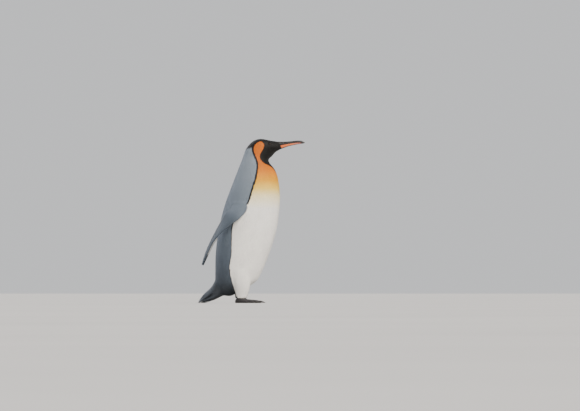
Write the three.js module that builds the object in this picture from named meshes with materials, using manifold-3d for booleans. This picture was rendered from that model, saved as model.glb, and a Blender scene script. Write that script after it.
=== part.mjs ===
// An adult king penguin (Aptenodytes patagonicus) standing still, life size, in millimetres.
// +X is the way it faces, +Y its left and +Z up. It stands on Z = 0, with the origin under the
// middle of its box. Every solid reaches out to the tips of the feathers that cover it.
import * as THREE from "three";
import { mergeVertices } from "three/addons/utils/BufferGeometryUtils.js";
import Module from "manifold-3d";

const wasm = await Module();
wasm.setup();

// ---------------------------------------------------------------- driving dimensions
const GAP = 0.3; // clear space where two pieces meet
const SIDES = { right: -1, left: 1 };

// The body is one long skin from vent to bill. At each landmark a flat oval section runs from a
// point on the line of the back to a point on the line of the front, both as [x, z], with half
// its width. egg above 0 puts its widest place nearer the front, and full above 2 squares it.
const LANDMARKS = [
  { name: "vent", back: [-135, 36], front: [-99, 34.5], half: 21, egg: 0, full: 2.0 },
  { name: "rump", back: [-177, 87.5], front: [-5.5, 87.5], half: 91.5, egg: 0, full: 2.1 },
  { name: "groin", back: [-181, 114.5], front: [29, 113.2], half: 105, egg: 0, full: 2.15 },
  { name: "thigh", back: [-181, 164], front: [56, 164], half: 117, egg: -0.02, full: 2.2 },
  { name: "belly", back: [-179, 249.5], front: [90.5, 249.5], half: 125.5, egg: -0.03, full: 2.25 },
  { name: "waist", back: [-163, 374.5], front: [126.5, 369.5], half: 126.5, egg: -0.04, full: 2.3 },
  { name: "breast", back: [-132.5, 493.5], front: [143, 505], half: 113.5, egg: -0.08, full: 2.3 },
  { name: "shoulders", back: [-96.5, 591], front: [137.5, 602], half: 93.5, egg: -0.1, full: 2.2 },
  { name: "collar", back: [-69.5, 662], front: [121.5, 662], half: 74.5, egg: -0.08, full: 2.1 },
  { name: "throat", back: [-45.5, 721], front: [85, 713.5], half: 56, egg: -0.05, full: 2.05 },
  { name: "nape", back: [-29, 768.5], front: [102, 732], half: 48.5, egg: -0.05, full: 2.05 },
  { name: "hindcrown", back: [6, 808.5], front: [119, 752.5], half: 44, egg: -0.06, full: 2.1 },
  { name: "crown", back: [44, 821], front: [133.5, 762], half: 38, egg: -0.08, full: 2.2 },
  { name: "forehead", back: [97, 812], front: [146.5, 768.3], half: 26.5, egg: -0.05, full: 2.1 },
  { name: "bill_base", back: [140, 807], front: [157.5, 773], half: 13, egg: 0, full: 2.0 },
];
const NECK_FROM = 8; // stations along the list above where one piece ends and the next begins
const HEAD_FROM = 9.7;
const BODY_STEPS = 3; // sections between two landmarks
const BODY_SEGMENTS = 30;

// The bill's three lines, from the feathers to the tip, as [x, z].
const CULMEN = [[131.5, 807.5], [160, 807], [195, 809], [233.5, 812.5], [255, 810.5], [268.5, 803]];
const GAPE = [[114.5, 785], [152.5, 791.5], [195, 798.3], [233.5, 803], [255, 802.6], [267.5, 801]];
const KEEL = [[125.5, 762], [154, 772], [185.5, 783.5], [224, 792], [249.5, 796], [264, 798.2]];
const BILL_HALF = { base: 12, tip: 2.8 };
const BILL_STEPS = 10;
const PLATE = { from: 0.1, to: 0.8, low: 8, high: 50, thick: 1.2, proud: 0.35 }; // angles in degrees
const PLATE_STEPS = 8;

const EYE = { radius: 9, station: 12.32, angle: 97, proud: 2.2 };

// Flippers are drawn back, so that each blade turns from lying along the side at the shoulder to
// facing backwards. at is [x, y, z] on the left; lead and trail reach to the two edges of the
// blade, thick is half its thickness, and turn is the angle from straight out towards the front.
const FLIPPER = [
  { name: "shoulder", at: [-31, 74, 548], lead: 36, trail: 34, thick: 13, turn: 79 },
  { name: "elbow", at: [-78, 115, 460], lead: 51.5, trail: 35, thick: 11.5, turn: 60 },
  { name: "forearm", at: [-120, 134.5, 412.5], lead: 47.5, trail: 36, thick: 8.5, turn: 44 },
  { name: "wrist", at: [-161, 145, 361], lead: 40, trail: 32.5, thick: 6, turn: 27 },
  { name: "hand", at: [-198, 148.5, 303], lead: 32.5, trail: 26.5, thick: 4.5, turn: 15.5 },
  { name: "finger", at: [-224.5, 145.5, 245], lead: 23, trail: 18, thick: 3.5, turn: 17.5 },
  { name: "tip", at: [-243, 138.5, 194.5], lead: 7.5, trail: 5.5, thick: 2.5, turn: 19 },
];
const FLIPPER_STEPS = 2;
const FLIPPER_END = [[3, 0.82], [5, 0.45]]; // how far past the tip, and how large next to it

// The tail's stiff feathers make a wedge whose end lies on the ground.
const TAIL = [
  { name: "root", back: [-167.5, 139], front: [-112.5, 63], half: 49.5, egg: 0, full: 2.4 },
  { name: "coverts", back: [-185, 105], front: [-145, 36], half: 53.5, egg: 0, full: 2.6 },
  { name: "fan", back: [-206.5, 74.5], front: [-186.5, 15], half: 47.5, egg: 0, full: 2.8 },
  { name: "quills", back: [-238, 45], front: [-228.5, 1], half: 34.5, egg: 0, full: 2.6 },
  { name: "end", back: [-268.5, 5], front: [-266.5, -3], half: 12.5, egg: 0, full: 2.2 },
];
const TAIL_STEPS = 2;

// Feathered legs, from inside the trunk to the ankle: [x, y, z] on the left, then half sizes.
const LEG = [
  { at: [-63, 63, 234], long: 28, wide: 30 },
  { at: [-63, 75, 195], long: 49, wide: 41 },
  { at: [-59, 78, 152], long: 55, wide: 42 },
  { at: [-52.5, 76, 110], long: 51.5, wide: 39 },
  { at: [-48, 72, 76], long: 40, wide: 34 },
  { at: [-49, 68, 46], long: 33, wide: 28 },
  { at: [-52, 66, 25], long: 30, wide: 24 },
];
const LEG_STEPS = 1.5;

// Feet: the ankle stands on a flat sole, and three toes spread from its front.
const FOOT_AT = [-54, 66]; // x and y of the ankle, on the left
const FOOT_OUT = 9; // degrees that the whole foot turns out
const ANKLE = [
  { x: -25.5, half: 11.5, top: 16 },
  { x: -15, half: 19, top: 26.5 },
  { x: 0, half: 23, top: 31.5 },
  { x: 15, half: 24, top: 28.5 },
  { x: 28.5, half: 24, top: 22 },
  { x: 36, half: 21, top: 16 },
];
const TOES = [
  { name: "inner", from: [21, -10.5], turn: -20, length: 61, half: 10.5, high: 18, claw: 21 },
  { name: "middle", from: [25, 1], turn: -1, length: 76, half: 11, high: 20, claw: 24 },
  { name: "outer", from: [20, 11.5], turn: 19, length: 63, half: 10, high: 18, claw: 20 },
];
const HIND_TOE = { name: "hind", from: [-4, -19], turn: -62, length: 16, half: 5.5, high: 11.5, claw: 10.5 };
const TOE_PADS = { count: 3, swell: 0.07 }; // fleshy pads along each toe
const TOE_END = { from: 0.82, blunt: 0.72 }; // where a toe starts to round off, and how much
const CLAW = { root: 6, thick: 0.46, steps: 5 };
const TOE_STEPS = 6;
const WEB = { low: 2.5, high: 7, reach: 0.84, sag: 0.58 };

// ---------------------------------------------------------------- shared shape tools
const radians = THREE.MathUtils.degToRad;
const vector = (x, y, z) => new THREE.Vector3(x, y, z);
const signedPower = (value, power) => Math.sign(value) * Math.abs(value) ** power;

// Smooth line through points; getPoint(i / (n - 1)) is point i.
const throughPoints = (points) => new THREE.CatmullRomCurve3(points, false, "centripetal");

// One oval section. It reaches +along and -along at its ends and across at its two sides.
function oval(centre, along, across, { segments, full = 2, egg = 0 }) {
  const points = [];
  for (let i = 0; i < segments; i++) {
    const angle = (2 * Math.PI * i) / segments;
    const u = signedPower(Math.cos(angle), 2 / full);
    const v = signedPower(Math.sin(angle), 2 / full) * (1 + egg * u);
    points.push(centre.clone().addScaledVector(along, u).addScaledVector(across, v));
  }
  return points;
}

// Half an oval on a flat base, as each half of the bill has.
function halfOval(centre, out, across, segments, full) {
  const points = [];
  for (let i = 0; i <= segments; i++) {
    const angle = (Math.PI * i) / segments;
    const u = signedPower(Math.sin(angle), 2 / full);
    const v = signedPower(Math.cos(angle), 2 / full);
    points.push(centre.clone().addScaledVector(out, u).addScaledVector(across, v));
  }
  return points;
}

function middleOf(points) {
  const sum = points.reduce((total, p) => total.add(p), vector(0, 0, 0));
  return sum.divideScalar(points.length);
}

// A closed skin over sections that all have the same number of points, with a cap at each end.
function loft(sections) {
  const around = sections[0].length;
  const points = [...sections.flat(), middleOf(sections[0]), middleOf(sections.at(-1))];
  const firstCap = points.length - 2;
  const lastCap = points.length - 1;
  const lastRow = (sections.length - 1) * around;
  const index = [];
  for (let i = 0; i < around; i++) {
    const j = (i + 1) % around;
    for (let row = 0; row < lastRow; row += around) {
      index.push(row + i, row + j, row + around + j, row + i, row + around + j, row + around + i);
    }
    index.push(firstCap, j, i, lastCap, lastRow + i, lastRow + j);
  }
  return solidFrom(points, index);
}

// The manifold solid of a closed mesh, turned the right way out.
function solidFrom(points, index) {
  const geometry = new THREE.BufferGeometry().setFromPoints(points).setIndex(index);
  return solidOf(geometry);
}

function solidOf(geometry) {
  const bare = geometry.clone();
  bare.deleteAttribute("normal");
  bare.deleteAttribute("uv");
  const merged = mergeVertices(bare, 1e-4);
  const vertProperties = new Float32Array(merged.attributes.position.array);
  const triVerts = new Uint32Array(merged.index.array);
  const make = () => new wasm.Manifold(new wasm.Mesh({ numProp: 3, vertProperties, triVerts }));
  const solid = make();
  if (solid.volume() > 0) return solid;
  triVerts.reverse();
  return make();
}

function geometryOf(solid) {
  const { numProp, vertProperties, triVerts } = solid.getMesh();
  const positions = new Float32Array((vertProperties.length / numProp) * 3);
  for (let i = 0; i < positions.length / 3; i++) {
    positions.set(vertProperties.subarray(i * numProp, i * numProp + 3), i * 3);
  }
  const geometry = new THREE.BufferGeometry();
  geometry.setAttribute("position", new THREE.BufferAttribute(positions, 3));
  geometry.setIndex(new THREE.BufferAttribute(new Uint32Array(triVerts), 1));
  const shaded = geometry.toNonIndexed();
  shaded.computeVertexNormals();
  return shaded;
}

const joined = (solids) => solids.reduce((whole, next) => whole.add(next));
const cutBy = (solid, ...tools) => tools.reduce((left, tool) => left.subtract(tool), solid);

// Everything above the floor.
const FLOOR_BOX = new THREE.BoxGeometry(2000, 2000, 1000).translate(0, 0, 500);
const aboveFloor = (solid) => solid.intersect(solidOf(FLOOR_BOX));

// ---------------------------------------------------------------- body: trunk, neck and head
// A spine of oval sections between a back line and a front line in the plane of symmetry.
function spineOf(landmarks) {
  const last = landmarks.length - 1;
  const backLine = throughPoints(landmarks.map(({ back: [x, z] }) => vector(x, 0, z)));
  const frontLine = throughPoints(landmarks.map(({ front: [x, z] }) => vector(x, 0, z)));
  const girth = throughPoints(landmarks.map(({ half, egg, full }) => vector(half, egg, full)));
  // The frame of the section at a station: its centre, half its depth as a vector, and its shape.
  return (station) => {
    const t = station / last;
    const back = backLine.getPoint(t);
    const front = frontLine.getPoint(t);
    const [half, egg, full] = girth.getPoint(t).toArray();
    const centre = back.clone().add(front).multiplyScalar(0.5);
    return { centre, along: front.sub(centre), half, egg, full };
  };
}

// The sections from one station to another. grow adds that much skin all round and at both ends.
function spineSolid(spine, from, to, steps, segments, grow = 0, shiftStart = 0) {
  const count = Math.max(2, Math.round((to - from) * steps));
  const sections = [];
  for (let i = 0; i <= count; i++) {
    const { centre, along, half, egg, full } = spine(from + ((to - from) * i) / count);
    const headwards = along.clone().normalize().cross(vector(0, 1, 0));
    if (i === 0) centre.addScaledVector(headwards, shiftStart - grow);
    if (i === count) centre.addScaledVector(headwards, grow);
    along.setLength(along.length() + grow);
    sections.push(oval(centre, along, vector(0, half + grow, 0), { segments, full, egg }));
  }
  return loft(sections);
}

const bodySpine = spineOf(LANDMARKS);
const bodyPart = (from, to, grow = 0, shift = 0) =>
  spineSolid(bodySpine, from, to, BODY_STEPS, BODY_SEGMENTS, grow, shift);

// A point on the body's surface and the way that the surface faces there.
function onBody(station, angleDegrees, side) {
  const at = (s, a) => {
    const { centre, along, half, egg, full } = bodySpine(s);
    const u = signedPower(Math.cos(a), 2 / full);
    const v = signedPower(Math.sin(a), 2 / full) * (1 + egg * u);
    return centre.addScaledVector(along, u).add(vector(0, half * v * side, 0));
  };
  const angle = radians(angleDegrees);
  const point = at(station, angle);
  const forwards = at(station + 0.02, angle).sub(point);
  const around = at(station, angle + 0.02).sub(point);
  const normal = forwards.cross(around).normalize();
  if (normal.y * side < 0) normal.negate();
  return { point, normal };
}

// ---------------------------------------------------------------- bill
const curveXZ = (points) => throughPoints(points.map(([x, z]) => vector(x, 0, z)));
const culmen = curveXZ(CULMEN);
const gape = curveXZ(GAPE);
const keel = curveXZ(KEEL);
const billHalf = (share) =>
  THREE.MathUtils.lerp(BILL_HALF.base, BILL_HALF.tip, share ** 0.62) * Math.sqrt(1.02 - share ** 9);

// The frame of a half of the bill: its middle on the gape line and its reach to its outer line.
function billFrame(outer, share, grow = 0) {
  const centre = gape.getPoint(share);
  const out = outer.getPoint(share).sub(centre);
  const lift = GAP / 2 - grow;
  centre.addScaledVector(out.clone().normalize(), lift);
  out.setLength(Math.max(0.6, out.length() - lift) + grow);
  return { centre, out, across: vector(0, billHalf(share) + grow, 0) };
}

function billSolid(outer, full, grow = 0) {
  const sections = [];
  for (let i = 0; i <= BILL_STEPS; i++) {
    const { centre, out, across } = billFrame(outer, i / BILL_STEPS, grow);
    sections.push(halfOval(centre, out, across, 8, full));
  }
  return loft(sections);
}

// The bright horny plate on one side of the lower bill, a thin band set into it.
function billPlate(side, grow = 0) {
  const sections = [];
  for (let i = 0; i <= PLATE_STEPS; i++) {
    const along = i / PLATE_STEPS;
    const share = THREE.MathUtils.lerp(PLATE.from - grow * 0.01, PLATE.to + grow * 0.01, along);
    const { centre, out, across } = billFrame(keel, share);
    const narrow = Math.sqrt(Math.max(0.02, 1 - along ** 4)); // pointed at the front
    const mid = (PLATE.low + PLATE.high) / 2;
    const spread = ((PLATE.high - PLATE.low) / 2) * narrow + grow * 4;
    const arc = (depth) =>
      [-1, 0, 1].map((k) => {
        const angle = radians(mid + k * spread);
        const u = Math.sin(angle) * (out.length() + depth);
        const v = Math.cos(angle) * (across.y + depth) * side;
        return centre.clone().addScaledVector(out.clone().normalize(), u).add(vector(0, v, 0));
      });
    sections.push([...arc(PLATE.proud + grow), ...arc(-PLATE.thick - grow).reverse()]);
  }
  return loft(sections);
}

// ---------------------------------------------------------------- flippers
const flipperLine = throughPoints(FLIPPER.map(({ at }) => vector(...at)));
const flipperBlade = throughPoints(FLIPPER.map((s) => vector(s.lead, s.trail, s.thick)));
const flipperTurn = throughPoints(FLIPPER.map(({ turn }, i) => vector(i, turn, 0)));

function flipperSection(share) {
  const centre = flipperLine.getPoint(share);
  const run = flipperLine.getTangent(share);
  const [lead, trail, thick] = flipperBlade.getPoint(share).toArray();
  const turn = radians(flipperTurn.getPoint(share).y);
  const out = vector(0, 1, 0).addScaledVector(run, -run.y).normalize();
  const front = out.clone().cross(run).normalize();
  if (front.x < 0) front.negate();
  const towardsLead = out.multiplyScalar(Math.cos(turn)).addScaledVector(front, Math.sin(turn));
  const through = run.clone().cross(towardsLead).normalize();
  centre.addScaledVector(towardsLead, (lead - trail) / 2);
  const along = towardsLead.multiplyScalar((lead + trail) / 2);
  return oval(centre, along, through.multiplyScalar(thick), { segments: 14, full: 2, egg: 0.35 });
}

function flipperSolid(side) {
  const count = (FLIPPER.length - 1) * FLIPPER_STEPS;
  const sections = [];
  for (let i = 0; i <= count; i++) {
    sections.push(flipperSection(i / count).map(({ x, y, z }) => vector(x, y * side, z)));
  }
  const [tip, before] = [sections.at(-1), sections.at(-2)].map(middleOf);
  const run = tip.clone().sub(before).normalize();
  for (const [reach, size] of FLIPPER_END) {
    const centre = tip.clone().addScaledVector(run, reach);
    sections.push(sections[count].map((p) => p.clone().sub(tip).multiplyScalar(size).add(centre)));
  }
  return loft(sections);
}

// ---------------------------------------------------------------- legs and feet
function legSolid(side) {
  const line = throughPoints(LEG.map(({ at: [x, y, z] }) => vector(x, y * side, z)));
  const girth = throughPoints(LEG.map(({ long, wide }, i) => vector(long, wide, i)));
  const count = (LEG.length - 1) * LEG_STEPS;
  const sections = [];
  for (let i = 0; i <= count; i++) {
    const [long, wide] = girth.getPoint(i / count).toArray();
    const shape = { segments: 18, full: 2.1 };
    sections.push(oval(line.getPoint(i / count), vector(long, 0, 0), vector(0, wide, 0), shape));
  }
  return loft(sections);
}

// A toe along +X from its root, round above and flat where it meets the ground.
function toeSolid({ length, half, high }, grow) {
  const sections = [];
  for (let i = 0; i <= TOE_STEPS; i++) {
    const share = i / TOE_STEPS;
    const pads = 1 + TOE_PADS.swell * Math.cos(share * TOE_PADS.count * 2 * Math.PI);
    const taper = (1 - 0.3 * share) * pads;
    const past = Math.max(0, (share - TOE_END.from) / (1 - TOE_END.from));
    const rounded = Math.sqrt(1 - past ** 2 * TOE_END.blunt);
    const top = high * (1 - 0.34 * share) * (0.97 + 0.03 * pads) * rounded + grow;
    const centre = vector(share * length + (i === TOE_STEPS ? grow : 0), 0, top * 0.42);
    const across = vector(0, half * taper * rounded + grow, 0);
    const ring = oval(centre, vector(0, 0, top * 0.58), across, { segments: 12, full: 2.2 });
    sections.push(ring.map((p) => p.setZ(Math.max(p.z, -grow))));
  }
  return loft(sections);
}

// A claw along +X from inside its toe's end, curving down to a blunt point above the ground.
function clawSolid({ length, claw, half, high }) {
  const sections = [];
  for (let i = 0; i <= CLAW.steps; i++) {
    const share = i / CLAW.steps;
    const drop = high * (0.36 - 0.26 * share ** 2);
    const radius = half * CLAW.thick * (1 - 0.8 * share ** 1.4);
    const centre = vector(length - CLAW.root + (claw + CLAW.root) * share, 0, drop);
    const across = vector(0, radius, 0);
    sections.push(oval(centre, vector(0, 0, Math.min(radius * 1.1, drop - 0.4)), across, { segments: 8 }));
  }
  return loft(sections);
}

// Moves a solid made along +X to where a toe of one foot is.
function placedAsToe(solid, toe, side) {
  const ankle = vector(FOOT_AT[0], FOOT_AT[1] * side, 0);
  const place = new THREE.Matrix4()
    .makeTranslation(ankle)
    .multiply(new THREE.Matrix4().makeRotationZ(radians(FOOT_OUT * side)))
    .multiply(new THREE.Matrix4().makeTranslation(toe.from[0], toe.from[1] * side, 0))
    .multiply(new THREE.Matrix4().makeRotationZ(radians(toe.turn * side)));
  return solid.transform(place.elements);
}

// Where a share of a toe's length lies on the ground, for the webs.
function onToe(toe, share) {
  const turn = radians(toe.turn);
  const reach = toe.length * share;
  return [toe.from[0] + Math.cos(turn) * reach, toe.from[1] + Math.sin(turn) * reach];
}

// The skin between two neighbouring toes, hollow along its front edge.
function webSolid(first, second, side, grow) {
  const [a, b] = [onToe(first, WEB.reach), onToe(second, WEB.reach)];
  const sag = [...onToe(first, WEB.sag), ...onToe(second, WEB.sag)];
  const outline = new THREE.Shape();
  outline.moveTo(...onToe(first, -0.05));
  outline.lineTo(...a);
  outline.quadraticCurveTo((sag[0] + sag[2]) / 2, (sag[1] + sag[3]) / 2, ...b);
  outline.lineTo(...onToe(second, -0.05));
  const depth = WEB.high - WEB.low + 2 * grow;
  const plate = new THREE.ExtrudeGeometry(outline, { depth, bevelEnabled: false, curveSegments: 6 });
  const place = new THREE.Matrix4()
    .makeTranslation(FOOT_AT[0], FOOT_AT[1] * side, WEB.low - grow)
    .multiply(new THREE.Matrix4().makeRotationZ(radians(FOOT_OUT * side)))
    .multiply(new THREE.Matrix4().makeScale(1, side, 1));
  return solidOf(plate.applyMatrix4(place));
}

// The ankle's block of skin, from the heel to the roots of the toes.
function ankleSolid(side, grow) {
  const sections = ANKLE.map(({ x, half, top }) => {
    const shape = { segments: 14, full: 2.3 };
    const up = vector(0, 0, top * 0.55 + grow);
    const ring = oval(vector(x, 0, top * 0.45), up, vector(0, half + grow, 0), shape);
    return ring.map((p) => p.setZ(Math.max(p.z, -grow)));
  });
  return placedAsToe(loft(sections), { from: [0, 0], turn: 0 }, side);
}

const ALL_TOES = [...TOES, HIND_TOE];

function footSolid(side, grow = 0) {
  return joined([
    ankleSolid(side, grow),
    ...ALL_TOES.map((toe) => placedAsToe(toeSolid(toe, grow), toe, side)),
    webSolid(TOES[0], TOES[1], side, grow),
    webSolid(TOES[1], TOES[2], side, grow),
  ]);
}

// ---------------------------------------------------------------- the model
const finish = (color, roughness, metalness = 0) => ({ color, roughness, metalness });
const FINISHES = {
  trunk_feathers: finish("#6d7884", 0.7),
  neck_feathers: finish("#4b4f55", 0.7),
  head_feathers: finish("#171613", 0.6),
  flipper_feathers: finish("#343b44", 0.6),
  tail_feathers: finish("#2c3137", 0.65),
  leg_feathers: finish("#8f9296", 0.75),
  dark_horn: finish("#1c1a1a", 0.35),
  bright_horn: finish("#e8743f", 0.3),
  foot_skin: finish("#2a292b", 0.6),
  eye: finish("#2b1810", 0.1),
};

const penguin = new THREE.Group();

function addPiece(name, finishName, solid) {
  const piece = new THREE.Mesh(geometryOf(solid), new THREE.MeshStandardMaterial(FINISHES[finishName]));
  piece.name = name;
  penguin.add(piece);
}

const lastStation = LANDMARKS.length - 1;
const trunk = bodyPart(0, NECK_FROM);
const trunkGrown = bodyPart(0, NECK_FROM, GAP);
const headGrown = bodyPart(HEAD_FROM, lastStation, GAP);

const eyes = {};
const sockets = [];
for (const [sideName, side] of Object.entries(SIDES)) {
  const { point, normal } = onBody(EYE.station, EYE.angle, side);
  const centre = point.addScaledVector(normal, EYE.proud - EYE.radius);
  const ball = (radius) =>
    solidOf(new THREE.SphereGeometry(radius, 12, 8).rotateX(Math.PI / 2).translate(...centre));
  eyes[sideName] = ball(EYE.radius);
  sockets.push(ball(EYE.radius + GAP));
}

const tailSpine = spineOf(TAIL);
const tail = spineSolid(tailSpine, 0, TAIL.length - 1, TAIL_STEPS, 18);

addPiece("trunk", "trunk_feathers", trunk);
addPiece("neck", "neck_feathers", bodyPart(NECK_FROM, HEAD_FROM, 0, GAP));
addPiece("head", "head_feathers", cutBy(bodyPart(HEAD_FROM, lastStation, 0, GAP), ...sockets));
addPiece("tail", "tail_feathers", aboveFloor(cutBy(tail, trunkGrown)));

const plates = Object.values(SIDES).map((side) => billPlate(side, GAP));
addPiece("bill_upper", "dark_horn", cutBy(billSolid(culmen, 2.1), headGrown));
addPiece("bill_lower", "dark_horn", cutBy(billSolid(keel, 2.1), headGrown, ...plates));

for (const [sideName, side] of Object.entries(SIDES)) {
  addPiece(`bill_plate_${sideName}`, "bright_horn", cutBy(billPlate(side), headGrown));
  addPiece(`eye_${sideName}`, "eye", eyes[sideName]);
  addPiece(`flipper_${sideName}`, "flipper_feathers", cutBy(flipperSolid(side), trunkGrown));
  const footGrown = footSolid(side, GAP);
  addPiece(`leg_${sideName}`, "leg_feathers", cutBy(legSolid(side), trunkGrown, footGrown));
  addPiece(`foot_${sideName}`, "foot_skin", aboveFloor(footSolid(side)));
  for (const toe of ALL_TOES) {
    const claw = cutBy(placedAsToe(clawSolid(toe), toe, side), footGrown);
    addPiece(`claw_${toe.name}_${sideName}`, "dark_horn", aboveFloor(claw));
  }
}

export default penguin;
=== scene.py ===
import math
from functools import partial

import bmesh
import bpy
import numpy as np
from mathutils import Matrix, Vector, noise
from mathutils.bvhtree import BVHTree
from mathutils.kdtree import KDTree


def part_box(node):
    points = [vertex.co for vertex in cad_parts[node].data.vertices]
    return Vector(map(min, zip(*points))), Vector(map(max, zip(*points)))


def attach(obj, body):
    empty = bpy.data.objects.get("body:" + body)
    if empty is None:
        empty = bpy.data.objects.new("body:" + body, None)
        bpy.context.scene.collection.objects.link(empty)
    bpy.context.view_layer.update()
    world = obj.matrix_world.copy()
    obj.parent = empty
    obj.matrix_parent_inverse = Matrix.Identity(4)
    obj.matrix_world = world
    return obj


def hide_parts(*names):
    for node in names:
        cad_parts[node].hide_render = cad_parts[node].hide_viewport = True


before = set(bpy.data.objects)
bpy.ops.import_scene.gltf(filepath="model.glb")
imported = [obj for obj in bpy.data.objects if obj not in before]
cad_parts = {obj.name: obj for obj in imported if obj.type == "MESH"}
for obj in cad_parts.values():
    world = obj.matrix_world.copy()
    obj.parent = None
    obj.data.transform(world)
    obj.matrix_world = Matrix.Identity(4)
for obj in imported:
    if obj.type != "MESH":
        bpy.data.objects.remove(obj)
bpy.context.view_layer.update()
rng = np.random.default_rng(11)
MM = 0.001
SIDES = {"right": -1, "left": 1}

# ---------------------------------------------------------------- camera
CAMERA_AT = Vector((0.193, -24.0, 0.05))
LOOK_AT = Vector((0.193, 0.0, 0.4875))
VIEW_WIDTH = 2.9  # metres across the view at the bird
SENSOR = 36.0


def set_up(name, data, at, aim):
    """Puts a camera or a lamp at a place, aimed at another."""
    thing = bpy.data.objects.new(name, data)
    thing.location = at
    thing.rotation_mode = "QUATERNION"
    thing.rotation_quaternion = (aim - at).to_track_quat("-Z", "Y")
    bpy.context.scene.collection.objects.link(thing)
    return thing


camera_data = bpy.data.cameras.new("camera")
camera_data.sensor_width = SENSOR
camera_data.lens = SENSOR * (LOOK_AT - CAMERA_AT).length / VIEW_WIDTH
camera_data.clip_start = 0.5
camera_data.clip_end = 900.0
bpy.context.scene.camera = set_up("camera", camera_data, CAMERA_AT, LOOK_AT)

# ---------------------------------------------------------------- sizes of the body and its coat
# The lie of the feathers follows this line from the bill down to the vent, as [x, z] in mm.
LIE_LINE = [
    (148, 791), (121, 792), (88, 792), (60, 781), (35, 751), (20, 717), (24, 676), (20, 596),
    (5, 499), (-18, 372), (-44, 249), (-63, 164), (-77, 114), (-91, 87), (-117, 35),
]
LIE = dict(reach=14, settles=3, rounds=6)  # mm over which its ways blend, and how they are smoothed

# Each part of the body, with its coat in mm: depth is from the skin to the feather tips.
COAT = {
    "trunk": dict(depth=3.0, spacing=2.85, length=17.0, width=4.0, smoothing=1.0),
    "neck": dict(depth=2.2, spacing=2.4, length=12.5, width=3.3, smoothing=0.5),
    "head": dict(depth=1.1, spacing=1.7, length=7.2, width=2.25, smoothing=0.28),
    "tail": dict(depth=2.0, spacing=3.4, length=18.0, width=4.8, smoothing=0.2),
    "leg": dict(depth=2.2, spacing=2.6, length=12.0, width=3.5, smoothing=0.45),
    "flipper": dict(depth=0.5, spacing=2.2, length=6.6, width=2.8, smoothing=0.12),
}
PARTS = list(COAT)
TRUNK, NECK, HEAD, TAIL, LEG, FLIPPER = range(6)
STRAIGHT_LIE = {LEG: (0.12, 0.0, -1.0), TAIL: (-0.67, 0.0, -0.74)}
FACE_THINS = 0.6  # the share of the coat's depth that is gone where it meets the bill

WELD = 0.01 * MM  # loose corners nearer than this become one
SWELL = 0.35 * MM  # closes the thin gaps between the solids
SKIN_VOXEL = 3.2 * MM
SMOOTH_ROUNDS = 26
BLEND_ROUNDS = 24
JOIN_SMOOTHING = 1.2  # added where two parts meet
BLADE_KEPT = (0.6, 0.95)  # shares of flipper over which the skin comes to keep the solids' own faces
SKIN_LOWEST = 0.3 * MM

# The flipper's blade from the shoulder to the tip, in mm, as the solids have it.
FLIPPER_BLADE = [
    dict(at=(-31, 74, 548), lead=36, trail=34, turn=79),
    dict(at=(-78, 115, 460), lead=51.5, trail=35, turn=60),
    dict(at=(-120, 134.5, 412.5), lead=47.5, trail=36, turn=44),
    dict(at=(-161, 145, 361), lead=40, trail=32.5, turn=27),
    dict(at=(-198, 148.5, 303), lead=32.5, trail=26.5, turn=15.5),
    dict(at=(-224.5, 145.5, 245), lead=23, trail=18, turn=17.5),
    dict(at=(-243, 138.5, 194.5), lead=7.5, trail=5.5, turn=19),
]

# The bill's three lines, from inside the feathers to the tip, as [x, z] in mm, as the solids have them.
CULMEN = [(131.5, 807.5), (160, 807), (195, 809), (233.5, 812.5), (255, 810.5), (268.5, 803)]
GAPE = [(114.5, 785), (152.5, 791.5), (195, 798.3), (233.5, 803), (255, 802.6), (267.5, 801)]
KEEL = [(125.5, 762), (154, 772), (185.5, 783.5), (224, 792), (249.5, 796), (264, 798.2)]
BILL_HALF = dict(base=12.0, tip=2.8, taper=0.62, end=9, blunt=1.02)  # half its width, and how it narrows
BILL_PARTING = 0.15  # half the gap between the closed halves
BILL_THINNEST = 0.6
BILL_ROUND = 2 / 2.1  # a touch squarer than an ellipse
GAPE_HOLLOW = 0.12  # of the reach: the closed faces are a little hollow, so that the edges meet first
KEEL_END = dict(power=50, blunt=0.93)  # how the lower half rounds off in its last 5 mm
PLATE_BAND = dict(start=0.1, end=0.8, low=8.0, high=50.0, sunk=1.2, proud=0.35)  # angles in degrees
NOSTRIL = dict(start=(161.0, 800.6), end=(173.0, 802.0), wide=0.8, deep=1.3)
BILL_GROOVE = dict(start=(174.0, 802.2), end=(236.0, 808.3), wide=0.9, deep=0.35)
# Where the feathers end on the bill: the skin bends down to the horn between these mm behind the edge.
FEATHER_EDGE = dict(top=(140.0, 807.0), bottom=(157.5, 773.0), bend=(17.0, 1.5), curve=1.5, sunk=0.5)

# The tail's wedge, as [x, z] of its upper and lower lines and half its width, in mm.
TAIL_WEDGE = [
    dict(back=(-167.5, 139), front=(-112.5, 63), half=49.5, full=2.4),
    dict(back=(-185, 105), front=(-145, 36), half=53.5, full=2.6),
    dict(back=(-206.5, 74.5), front=(-186.5, 15), half=47.5, full=2.8),
    dict(back=(-238, 45), front=(-228.5, 1), half=34.5, full=2.6),
    dict(back=(-268.5, 5), front=(-266.5, -3), half=12.5, full=2.2),
]
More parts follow.
